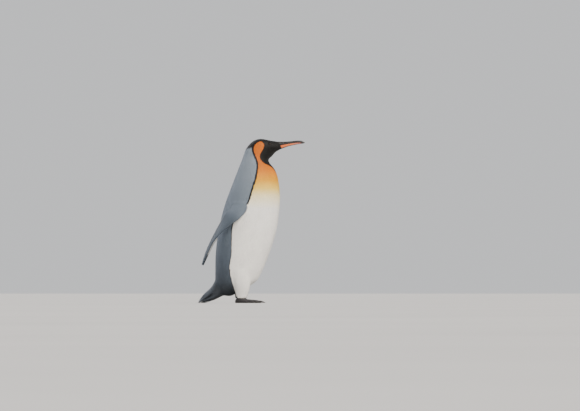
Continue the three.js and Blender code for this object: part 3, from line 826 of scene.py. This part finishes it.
def make_skin():
    """One skin round all the flesh: smoothed, and laid under the coat by its depth."""
    nodes = flesh_nodes()
    copies = [swollen_copy(node, f"{node}_copy", SWELL) for node in [*nodes, "eye_right", "eye_left"]]
    skin = copies[0]
    select_nothing()
    for piece in copies:
        piece.select_set(True)
    bpy.context.view_layer.objects.active = skin
    bpy.ops.object.join()
    skin.name = "skin"
    finish_with(skin, "REMESH", mode="VOXEL", voxel_size=SKIN_VOXEL)
    mesh = skin.data
    points, edges = points_of(mesh), edges_of(mesh)
    finder, owner = part_finder(nodes)
    share = np.zeros((len(points), len(PARTS)))
    for i, point in enumerate(points):
        share[i, owner[finder.find_nearest(point)[2]]] = 1.0
    share = spread_out(share, edges, BLEND_ROUNDS)
    junction = 1 - share.max(axis=1)
    smoothing = np.clip(blended(share, "smoothing") + junction * JOIN_SMOOTHING, 0, 1)
    points = spread_out(points, edges, SMOOTH_ROUNDS, smoothing * 0.5)
    set_points(mesh, points)
    normals = normals_of(mesh)
    # The flippers are thin, so their points keep to the solids' own faces.
    blade = smoothstep(*BLADE_KEPT, share[:, FLIPPER])
    for i in np.flatnonzero(blade > 0):
        points[i] += (np.array(finder.find_nearest(points[i])[0]) - points[i]) * blade[i]
    depth = blended(share, "depth") * MM
    taper = bill_taper(points)
    depth *= 1 - FACE_THINS * taper
    core = smoothstep(TAIL_CORE["start"], TAIL_CORE["end"], points[:, 0] / MM) * share[:, TAIL]
    sunk = depth + core * TAIL_CORE["sunk"] * MM
    points = points - normals * sunk[:, None]
    ended = np.maximum(points[:, 0], TAIL_CORE["end"] * MM)
    points[:, 0] += (ended - points[:, 0]) * (share[:, TAIL] > 0.5)
    points = facial_forms(points, normals)
    points = onto_bill(points, taper)
    points[:, 2] = np.maximum(points[:, 2], SKIN_LOWEST)
    set_points(mesh, points)
    lie = lie_of_coat(points, normals_of(mesh), share, edges)
    return skin, share, depth, lie


def bill_taper(points):
    """0 over most of the head, rising to 1 where the feathers end on the bill."""
    top, bottom = (np.array(FEATHER_EDGE[name]) for name in ("top", "bottom"))
    forwards = unit(np.array([top[1] - bottom[1], bottom[0] - top[0]]))
    behind = -(points[:, [0, 2]] / MM - top) @ forwards
    return smoothstep(*FEATHER_EDGE["bend"], behind)


def onto_bill(points, taper):
    """Draws the front of the face in, until it meets the horn just under its surface."""
    trees = [tree_of(piece.data) for piece in bill_halves.values()]
    for i in np.flatnonzero(taper > 0):
        found = min((tree.find_nearest(points[i]) for tree in trees), key=lambda hit: hit[3])
        inside = np.array(found[0] - found[1] * (FEATHER_EDGE["sunk"] * MM))
        points[i] += (inside - points[i]) * taper[i] ** FEATHER_EDGE["curve"]
    return points


def eye_middle(side):
    low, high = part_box("eye_left")
    return np.array((low + high) / 2) / MM * (1, side, 1)


def facial_forms(points, normals):
    """A soft rim and brow round each eye, a hollow before it and a fuller cheek under it."""
    left = on_left(points / MM)
    for x, y, z, radius, height in [*FACE, (*eye_middle(1), *EYE_RIM)]:
        away = np.linalg.norm(left - (x, y, z), axis=1)
        points = points + normals * (height * MM * np.exp(-((away / radius) ** 2)))[:, None]
    return points


def lie_of_coat(points, normals, share, edges):
    """The way that the feathers point at each place on the skin."""
    line = rounded_line(LIE_LINE, steps=6)
    run = unit(np.gradient(line, axis=0))
    mm = points / MM
    flow = np.zeros((len(mm), 3))
    for place, way in zip(line, run):
        away = ((mm[:, 0] - place[0]) ** 2 + (mm[:, 2] - place[1]) ** 2) ** 0.5
        near = np.exp(-away / LIE["reach"])
        flow[:, 0] += near * way[0]
        flow[:, 2] += near * way[1]
    flow = unit(flow)
    wing = BLADE_RUN[on_blade(mm)[2]].copy()
    wing[:, 1] *= np.sign(mm[:, 1])
    body = share[:, [TRUNK, NECK, HEAD]].sum(axis=1)
    flow = flow * body[:, None] + wing * share[:, FLIPPER : FLIPPER + 1]
    for part, way in STRAIGHT_LIE.items():
        flow += unit(np.array(way)) * share[:, part : part + 1]
    flow = unit(flow)
    for _ in range(LIE["settles"]):
        flow -= normals * dot(flow, normals)[:, None]
        flow = spread_out(unit(flow), edges, LIE["rounds"])
    flow -= normals * dot(flow, normals)[:, None]
    return unit(flow)


def set_colours(mesh, values):
    layer = mesh.attributes.new("plumage", "FLOAT_COLOR", "POINT")
    rgba = np.ones((len(values), 4), np.float32)
    rgba[:, :3] = values
    layer.data.foreach_set("color", rgba.ravel())


SKIN_TONE = 0.35  # of the way from a feather's base colour to its tip's

skin, skin_share, skin_depth, skin_lie = make_skin()
skin_points, skin_normals = points_of(skin.data), normals_of(skin.data)
base, tip = plumage(skin_points, skin_normals, skin_share)
set_colours(skin.data, mixed(base, tip, np.full(len(base), SKIN_TONE)))
shade(skin)
dress(skin, "trunk_feathers", SKIN, *flesh_nodes())
skin_tree = tree_of(skin.data)

# ---------------------------------------------------------------- coat
CANDIDATES = 5  # tries for each feather wanted
NARROW = 0.78  # feathers stand this much closer side by side, and as much further apart in line
FEATHER_ROWS = [0.0, 0.4, 0.74, 0.91]
FEATHER_WIDTHS = [0.5, 0.9, 1.0, 0.68]
FEATHER_SHADES = [0.0, 0.0, 0.25, 0.8]  # from the base colour to the tip's, along a feather
FEATHER_HEIGHTS = dict(sunk=0.15, middle=0.58, tip=0.97)  # as shares of the coat's depth
FEATHER_STRAY = dict(
    length=(0.88, 1.1), width=(0.9, 1.08), lift=(0.95, 1.01), turn=4, roll=0.012, tone=0.035
)
FEATHER_LOWEST = 0.2 * MM
CAMBER = 0.03  # how much a feather's middle stands over its edges, as a share of its width
COLOURED_AT = 0.7  # along a feather, where its markings are read
CLOUD = dict(wide=45.0, tone=0.06)  # mm across the faint patches of worn and fresh feathers
EDGES_SINK = 0.6  # of the camber: its edges lie that much under the line from root to tip
SAME_FACE = 0.1  # feathers on the other face of a thin blade don't count as near
LEG_FRINGE = dict(height=42.0, share=0.4)  # lower than this in mm, feathers of the leg hang straight
BARE = dict(bill=0.93, floor=4)  # no feather grows nearer to the bill's edge or the floor
FEATHER_CREASE = 60
# The map for baking: the size of each feather's patch, its margin and what is filled, and how the legs
# and flippers are laid on maps of their own.
PATCH = 0.003
MAP = dict(margin=0.005, filled=0.985, leg_turn=0.48, leg_height=250, outside=0.25, inside=0.75, half=0.24)


def feather_roots():
    """Where feathers grow: evenly strewn, closer together where the part's feathers are smaller."""
    skin.data.calc_loop_triangles()
    corners = read(skin.data.loop_triangles, "vertices", 3, np.int32)
    spacing = blended(skin_share, "spacing") * MM
    a, b, c = (skin_points[corners[:, k]] for k in range(3))
    area = np.linalg.norm(np.cross(b - a, c - a), axis=1) / 2
    wanted = area / spacing[corners].mean(axis=1) ** 2
    total = int(wanted.sum() * CANDIDATES)
    cumulative = np.cumsum(wanted) / wanted.sum()
    chosen = np.minimum(np.searchsorted(cumulative, rng.random(total)), len(corners) - 1)
    u, v = rng.random(total), rng.random(total)
    flip = u + v > 1
    u[flip], v[flip] = 1 - u[flip], 1 - v[flip]
    weights = np.stack([1 - u - v, u, v], axis=1)
    ids = corners[chosen]

    def at_roots(values):
        return np.einsum("ij,ijk->ik", weights, values[ids])

    points = at_roots(skin_points)
    normals = unit(at_roots(skin_normals))
    reach = at_roots(spacing[:, None])[:, 0]
    lie = unit(at_roots(skin_lie))
    tree = KDTree(total)
    for i, point in enumerate(points):
        tree.insert(point, i)
    tree.balance()
    taken = np.zeros(total, bool)
    kept = []
    for i in range(total):
        if taken[i]:
            continue
        kept.append(i)
        near = np.array([j for _, j, _ in tree.find_range(points[i], reach[i] / NARROW)])
        away = points[near] - points[i]
        in_line = (away @ lie[i]) ** 2
        beside = (away**2).sum(axis=1) - in_line
        close = beside / NARROW**2 + in_line * NARROW**2 < reach[i] ** 2
        taken[near[close & (normals[near] @ normals[i] > SAME_FACE)]] = True
    kept = np.array(kept)
    mm = points[kept] / MM
    share = at_roots(skin_share)[kept]
    bare = bill_taper(points[kept]) > BARE["bill"]
    bare |= mm[:, 2] < BARE["floor"]
    bare |= (share[:, TAIL] > 0.5) & (mm[:, 0] < COVERT_END)
    for side in SIDES.values():
        bare |= np.linalg.norm(mm - eye_middle(side), axis=1) < EYE_RADIUS + EYE_CLEAR
    kept = kept[~bare]
    return {
        "at": points[kept],
        "facing": normals[kept],
        "share": share[~bare],
        "lie": lie[kept],
        "depth": at_roots(skin_depth[:, None])[kept, 0],
    }


def follow(points, ways, step):
    """Goes a step along the skin from each point: the places reached and the skin's facing there."""
    reached = points + ways * step[:, None]
    facing = np.empty_like(points)
    for i, point in enumerate(reached):
        place, normal, _, _ = skin_tree.find_nearest(point)
        reached[i] = place
        facing[i] = normal
    return reached, facing


def vane_faces(rows):
    """The faces of one vane: rows of left, middle and right points, then its tip."""
    quads, last = [], 3 * (rows - 1)
    for row in range(0, last, 3):
        quads.append((row, row + 1, row + 4, row + 3))
        quads.append((row + 1, row + 2, row + 5, row + 4))
        quads.append((row, row + 3, row + 5, row + 2))
    tip = last + 3
    tris = [(last, last + 1, tip), (last + 1, last + 2, tip), (last, tip, last + 2), (0, 2, 1)]
    return quads, tris


def make_vanes(line, facing, length, width, rows, widths, camber, roll):
    """Closed vanes along their middle lines, given as places and normals for each row and the tip."""
    count = len(length)
    verts = np.empty((count, 3 * len(rows) + 1, 3))
    on_vane = np.empty((count, 3 * len(rows) + 1, 2))
    way = line[-1] - line[0]
    for row, s in enumerate(rows):
        across = unit(np.cross(facing[row], way))
        half = width * widths[row] / 2
        for column, k in enumerate((1, 0, -1)):
            raised = width * (camber * (1.0 if k == 0 else -EDGES_SINK) + k * roll)
            spot = 3 * row + column
            verts[:, spot] = line[row] + across * (half * k)[:, None] + facing[row] * raised[:, None]
            on_vane[:, spot] = np.stack([half * k / MM, length * s / MM], axis=1)
    verts[:, -1] = line[-1]
    on_vane[:, -1] = np.stack([np.zeros(count), length / MM], axis=1)
    return verts, on_vane


def body_feathers(roots):
    """Every contour feather's points, colours and places on its vane."""
    points, normals, share, depth = roots["at"], roots["facing"], roots["share"], roots["depth"]
    count = len(points)
    length = blended(share, "length") * MM * rng.uniform(*FEATHER_STRAY["length"], count)
    width = blended(share, "width") * MM * rng.uniform(*FEATHER_STRAY["width"], count)
    angle = np.radians(rng.normal(0, FEATHER_STRAY["turn"], count))
    side = np.cross(normals, roots["lie"])
    way = roots["lie"] * np.cos(angle)[:, None] + side * np.sin(angle)[:, None]
    middle, middle_facing = follow(points, way, length / 2)
    onward = middle - points
    onward -= middle_facing * dot(onward, middle_facing)[:, None]
    onward = unit(onward)
    end, end_facing = follow(middle, onward, length / 2)
    # At the ankle they hang on over the foot, clear of the skin.
    hangs = (share[:, LEG] > LEG_FRINGE["share"]) & (points[:, 2] < LEG_FRINGE["height"] * MM)
    straight = middle + onward * (length / 2)[:, None]
    end[hangs] = straight[hangs]
    end_facing[hangs] = middle_facing[hangs]
    lift = rng.uniform(*FEATHER_STRAY["lift"], count) * depth
    start = points - normals * (FEATHER_HEIGHTS["sunk"] * depth)[:, None]
    halfway = middle + middle_facing * (FEATHER_HEIGHTS["middle"] * lift)[:, None]
    end = end + end_facing * (FEATHER_HEIGHTS["tip"] * lift)[:, None]
    line, facing = [], []
    for s in [*FEATHER_ROWS, 1.0]:
        # One smooth curve through the start, the halfway place and the end.
        curve = start * ((1 - s) * (1 - 2 * s)) + halfway * (4 * s * (1 - s)) + end * (s * (2 * s - 1))
        line.append(curve)
        facing.append(unit(normals * (1 - s) + end_facing * s))
    roll = rng.normal(0, FEATHER_STRAY["roll"], count)
    verts, on_vane = make_vanes(line, facing, length, width, FEATHER_ROWS, FEATHER_WIDTHS, CAMBER, roll)
    verts[:, :, 2] = np.maximum(verts[:, :, 2], FEATHER_LOWEST)
    base, tip = plumage(points + way * (COLOURED_AT * length)[:, None], normals, share)
    cloud = np.array([noise.noise(Vector(point) / (CLOUD["wide"] * MM)) for point in points])
    tone = (rng.normal(1.0, FEATHER_STRAY["tone"], count) + CLOUD["tone"] * cloud)[:, None, None]
    shades = np.append(np.repeat(FEATHER_SHADES, 3), 1.0)[None, :, None]
    colours = np.clip((base[:, None] * (1 - shades) + tip[:, None] * shades) * tone, 0, 1)
    return verts, colours, on_vane


def unwrap(points, part_of):
    """Places on flat maps of the skin: one round and along the body, and others for legs and flippers."""
    mm = points / MM
    x, y, z = mm.T
    side = np.sign(y)
    left = on_left(mm)
    line = rounded_line(LIE_LINE, steps=6)
    lengths = np.append(0, np.cumsum(np.linalg.norm(np.diff(line, axis=0), axis=1)))
    nearest = np.full(len(mm), np.inf)
    index = np.zeros(len(mm), int)
    for i, place in enumerate(line):
        away = (x - place[0]) ** 2 + (z - place[1]) ** 2
        index[away < nearest] = i
        nearest = np.minimum(nearest, away)
    run = unit(np.gradient(line, axis=0))[index]
    from_line = mm[:, [0, 2]] - line[index]
    forwards = from_line[:, 1] * run[:, 0] - from_line[:, 0] * run[:, 1]
    along = lengths[index] + (from_line * run).sum(axis=1)
    turn = np.arctan2(y, forwards) / (2 * math.pi) + 0.5
    body = np.stack([turn, along / lengths[-1]], axis=1)
    leg_turn = np.arctan2(left[:, 1] - FOOT_AT[1], x - FOOT_AT[0]) / (2 * math.pi) + 0.5
    leg = np.stack([side * 0.5 + leg_turn * MAP["leg_turn"], z / MAP["leg_height"]], axis=1)
    length, width, i = on_blade(mm)
    through = ((left - BLADE_MIDDLE[i]) * BLADE_OUT[i]).sum(axis=1)
    face = np.where(through > 0, MAP["outside"], MAP["inside"])
    blade = np.stack([face + width * MAP["half"], length], axis=1)
    places = np.where((part_of == FLIPPER)[:, None], blade, body)
    return np.where((part_of == LEG)[:, None], leg, places)


def coat_piece(name, slot, rows, verts, colours, on_vane, places):
    """One joined mesh of vanes. On the map for baking, each is a small patch at its root's place."""
    count, per = verts.shape[:2]
    quads, tris = vane_faces(rows)
    template = np.concatenate([np.ravel(quads), np.ravel(tris)])
    sizes = np.array([4] * len(quads) + [3] * len(tris))
    starts = np.append(0, np.cumsum(sizes)[:-1])
    loops = (template[None, :] + per * np.arange(count)[:, None]).ravel()
    loop_starts = (starts[None, :] + len(template) * np.arange(count)[:, None]).ravel()
    mesh = bpy.data.meshes.new(name)
    mesh.vertices.add(count * per)
    mesh.vertices.foreach_set("co", verts.astype(np.float32).ravel())
    mesh.loops.add(len(loops))
    mesh.loops.foreach_set("vertex_index", loops.astype(np.int32))
    mesh.polygons.add(len(loop_starts))
    mesh.polygons.foreach_set("loop_start", loop_starts.astype(np.int32))
    mesh.update(calc_edges=True)
    set_colours(mesh, colours.reshape(-1, 3))
    low, high = places.min(axis=0), places.max(axis=0)
    places = MAP["margin"] + MAP["filled"] * (places - low) / (high - low)
    patch = on_vane / np.abs(on_vane).max(axis=(1, 2))[:, None, None] * PATCH
    for layer_name, uv in (("OFBake", places[:, None, :] + patch), ("vane", on_vane)):
        layer = mesh.uv_layers.new(name=layer_name)
        layer.data.foreach_set("uv", uv.reshape(-1, 2)[loops].astype(np.float32).ravel())
    piece = bpy.data.objects.new(name, mesh)
    bpy.context.scene.collection.objects.link(piece)
    shade(piece, FEATHER_CREASE)
    dress(piece, slot, FEATHERS)


roots = feather_roots()
verts, colours, on_vane = body_feathers(roots)
part_of = roots["share"].argmax(axis=1)
places = unwrap(roots["at"], part_of)
x, y, z = (roots["at"] / MM).T
# The trunk's coat is split at these heights in mm, and into back and front along a line down each flank.
BACK_LINE = dict(heights=[110, 500, 600], ends=[-63, 5, 20])
behind = x < np.interp(z, BACK_LINE["heights"], BACK_LINE["ends"])
TRUNK_PIECES = {
    "shoulder_feathers": (behind, 440, 900),
    "back_feathers": (behind, 230, 440),
    "rump_feathers": (behind, 0, 230),
    "breast_feathers": (~behind, 450, 900),
    "belly_feathers": (~behind, 270, 450),
    "lower_belly_feathers": (~behind, 0, 270),
}
COAT_PIECES = {
    name: ("trunk_feathers", (part_of == TRUNK) & here & (z > low) & (z <= high))
    for name, (here, low, high) in TRUNK_PIECES.items()
}
COAT_PIECES |= {
    "neck_feathers": ("neck_feathers", part_of == NECK),
    "head_feathers": ("head_feathers", part_of == HEAD),
    "tail_coverts": ("tail_feathers", part_of == TAIL),
    "leg_feathers": ("leg_feathers", part_of == LEG),
    "right_flipper_feathers": ("flipper_feathers", (part_of == FLIPPER) & (y < 0)),
    "left_flipper_feathers": ("flipper_feathers", (part_of == FLIPPER) & (y > 0)),
}
for name, (slot, mine) in COAT_PIECES.items():
    coat_piece(name, slot, len(FEATHER_ROWS), verts[mine], colours[mine], on_vane[mine], places[mine])


# ---------------------------------------------------------------- tail quills
QUILL_ROWS = list(np.linspace(0, 0.94, 11))
QUILL_WIDTHS = [0.5, 0.75, 0.9, 0.96, 1.0, 1.0, 0.98, 0.93, 0.84, 0.68, 0.42]
QUILL_COLOURS = ("#1C1F23", "#474E57")  # at the base and at the tip
QUILL_LOWEST = 0.1 * MM

tail_back, tail_front = (
    rounded_line([(s[edge][0], 0, s[edge][1]) for s in TAIL_WEDGE], steps=20) for edge in ("back", "front")
)
tail_girth = rounded_line([(s["half"], s["full"], 0) for s in TAIL_WEDGE], steps=20)


def on_tail(station, across, height):
    """A place in the tail's wedge, from -1 to 1 across it and up through it."""
    share = station / (len(TAIL_WEDGE) - 1)
    back, front, girth = (along_line(line, share) for line in (tail_back, tail_front, tail_girth))
    half, full = girth[:, 0], girth[:, 1]
    room = np.maximum(1 - np.abs(across) ** full, 0) ** (1 / full)
    place = (back + front) / 2 + (back - front) / 2 * (height * room)[:, None]
    place[:, 1] += across * half
    return place


def tail_quills():
    """Stiff, narrow quills in layers, the middle ones longest."""
    last = len(TAIL_WEDGE) - 1
    across, height, end, width = [], [], [], []
    for level, count, wide, middle_end, side_end in QUILL_LAYERS:
        spots = np.linspace(-QUILL["across"], QUILL["across"], count)
        spots = spots + rng.normal(0, QUILL_STRAY["across"], count)
        across.append(spots)
        height.append(np.full(count, level))
        end.append(middle_end + (side_end - middle_end) * np.abs(spots) ** QUILL["fan"])
        width.append(np.full(count, wide))
    across, height, end, width = (np.concatenate(v) for v in (across, height, end, width))
    end += rng.normal(0, QUILL_STRAY["end"], len(end))
    end = np.minimum(end, last)
    inset = height * QUILL["inset"]
    line, facing = [], []
    for s in [*QUILL_ROWS, 1.0]:
        station = QUILL["start"] + (end - QUILL["start"]) * s
        place = on_tail(station, across, inset)
        sideways = on_tail(station, across + QUILL["step"], inset) - place
        onwards = on_tail(np.minimum(station + QUILL["step"], last), across, inset)
        onwards -= on_tail(station - QUILL["step"], across, inset)
        normal = unit(np.cross(sideways, onwards))
        inwards = normal[:, 2:] * np.sign(height)[:, None] < 0
        line.append(place * MM)
        facing.append(np.where(inwards, -normal, normal))
    length = np.linalg.norm(line[-1] - line[0], axis=1)
    roll = rng.normal(0, QUILL_STRAY["roll"], len(length))
    verts, on_vane = make_vanes(
        line, facing, length, width * MM, QUILL_ROWS, QUILL_WIDTHS, QUILL["camber"], roll
    )
    verts[:, :, 2] = np.maximum(verts[:, :, 2], QUILL_LOWEST)
    shades = np.append(np.repeat(np.array(QUILL_ROWS), 3), 1.0)[None, :, None]
    dark, pale = (np.array(linear(value)) for value in QUILL_COLOURS)
    tone = rng.normal(1.0, QUILL_STRAY["tone"], len(length))[:, None, None]
    colours = (dark * (1 - shades) + pale * shades) * tone
    places = np.stack([(across + 1) / 2, (height + 1) / 2], axis=1)
    coat_piece("tail_quills", "tail_feathers", len(QUILL_ROWS), verts, colours, on_vane, places)


tail_quills()

# ---------------------------------------------------------------- eyes
GAZE_SPAN = 60  # degrees from the middle of the eye, over which its colours run
BESIDE_EYE = 20 * MM  # how far out from its middle the skin's facing is read


def eye_frame(side):
    """An eye's middle, and its ways forwards, up and out, from the skin beside it."""
    middle = eye_middle(side) * MM
    out = np.array(skin_tree.find_nearest(middle + np.array((0, side * BESIDE_EYE, 0)))[1])
    up = unit(np.array((0, 0, 1)) - out * out[2])
    forwards = np.cross(up, out) * side
    forwards *= np.sign(forwards[0])
    return middle, forwards, up, out


def make_eyeball(side_name, side):
    middle, _, _, out = eye_frame(side)
    eye = primitive(
        f"{side_name}_eyeball", bpy.ops.mesh.primitive_uv_sphere_add,
        segments=48, ring_count=32, radius=EYE_RADIUS * MM, location=middle,
    )
    bpy.ops.object.transform_apply(location=True, rotation=True, scale=True)
    away = np.degrees(np.arccos(np.clip(unit(points_of(eye.data) - middle) @ out, -1, 1)))
    layer = eye.data.attributes.new("gaze", "FLOAT", "POINT")
    layer.data.foreach_set("value", (away / GAZE_SPAN).astype(np.float32))
    shade(eye)
    dress(eye, "eye", EYE, f"eye_{side_name}")


def make_eyelid(side_name, side):
    """A soft rim round the eye, drawn out to a corner in front and behind."""
    middle, forwards, up, out = eye_frame(side)
    lid = primitive(
        f"{side_name}_eyelids", bpy.ops.mesh.primitive_torus_add, location=(0, 0, 0),
        major_segments=64, minor_segments=14, major_radius=LID["ring"], minor_radius=LID["thick"],
    )
    ring = points_of(lid.data)
    angle = np.arctan2(ring[:, 1], ring[:, 0])
    above, below = np.maximum(np.sin(angle), 0), np.maximum(-np.sin(angle), 0)
    outward = np.hypot(ring[:, 0], ring[:, 1]) - LID["ring"]
    reach = LID["ring"] * (1 + LID["wide"] * np.cos(2 * angle))
    reach = reach + LID["corner"] * np.abs(np.cos(angle)) ** LID["sharp"]
    reach -= LID["droop"] * above
    thick = 1 + LID["upper"] * np.sin(angle)
    height = np.sqrt(LID["on"] ** 2 - reach**2) + ring[:, 2] * thick + LID["lower"] * below
    reach = reach + outward
    place = forwards * (np.cos(angle) * reach)[:, None] + up * (np.sin(angle) * reach)[:, None]
    set_points(lid.data, middle + (place + out * height[:, None]) * MM)
    face_outwards(lid)
    shade(lid)
    dress(lid, "head_feathers", EYELID)


for side_name, side in SIDES.items():
    make_eyeball(side_name, side)
    make_eyelid(side_name, side)


# ---------------------------------------------------------------- feet and claws
def turned(x, y, degrees):
    """Where a place lies, seen along and beside a way turned by some degrees."""
    c, s = math.cos(math.radians(degrees)), math.sin(math.radians(degrees))
    return x * c + y * s, y * c - x * s


def with_scutes(points, normals):
    """Raises a row of broad scales along the top of each toe, and sets the sole flat on the floor."""
    mm = points / MM
    ankle = on_left(mm)[:, :2] - FOOT_AT
    raised = np.zeros(len(mm))
    nearest = np.full(len(mm), np.inf)
    for toe in TOES:
        start = turned(*toe["start"], -FOOT_OUT)
        along, beside = turned(ankle[:, 0] - start[0], ankle[:, 1] - start[1], FOOT_OUT + toe["turn"])
        beside = np.abs(beside)
        on_toe = smoothstep(*SCUTE["starts"], along) * smoothstep(*SCUTE["sides"], beside)
        crest = np.abs(np.sin(math.pi * along / SCUTE["pitch"])) ** 0.5
        raised = np.where(beside < nearest, SCUTE["high"] * (crest - SCUTE["level"]) * on_toe, raised)
        nearest = np.minimum(nearest, beside)
    raised *= smoothstep(*SCUTE["facing"], normals[:, 2])
    mm = mm + normals * raised[:, None]
    mm[:, 2] = np.where(mm[:, 2] < SOLE, 0.0, mm[:, 2])
    return mm * MM


def smoothed(node, name, kind):
    """A solid with its facets smoothed away."""
    piece = swollen_copy(node, name, SMOOTHED[kind]["swell"] * MM)
    finish_with(piece, "REMESH", mode="VOXEL", voxel_size=SMOOTHED[kind]["voxel"] * MM)
    mesh = piece.data
    set_points(mesh, spread_out(points_of(mesh), edges_of(mesh), SMOOTHED[kind]["rounds"]))
    shade(piece)
    return piece


for side in SIDES:
    node = f"foot_{side}"
    foot = smoothed(node, f"{node}_skin", "foot")
    set_points(foot.data, with_scutes(points_of(foot.data), normals_of(foot.data)))
    dress(foot, "foot_skin", FOOT, node)
    for toe in ("inner", "middle", "outer", "hind"):
        node = f"claw_{toe}_{side}"
        dress(smoothed(node, f"{node}_horn", "claw"), "dark_horn", HORN, node)

# ---------------------------------------------------------------- stage
floor = primitive("studio_floor", bpy.ops.mesh.primitive_plane_add, size=800, location=(0, 0, 0))
floor.data.materials.append(new_material(painted_floor))

world = bpy.data.worlds.new("studio")
bpy.context.scene.world = world
world.use_nodes = True
sky = world.node_tree.nodes["Background"]
sky.inputs["Color"].default_value = colour("#F2F3F5")
sky.inputs["Strength"].default_value = 0.82

# Broad, soft lamps so far off that they light the whole floor alike.
LAMPS = {
    "key": dict(at=(3.0, -4.0, 4.2), spread=24, power=4.4, tint="#FFF6EA"),
    "rim": dict(at=(-3.5, 3.0, 3.2), spread=50, power=2.0, tint="#EEF3FF"),
}
for name, lamp in LAMPS.items():
    data = bpy.data.lights.new(name, "SUN")
    data.angle = math.radians(lamp["spread"])
    data.energy = lamp["power"]
    data.color = linear(lamp["tint"])
    set_up(name, data, Vector(lamp["at"]), Vector((0, 0, 0)))
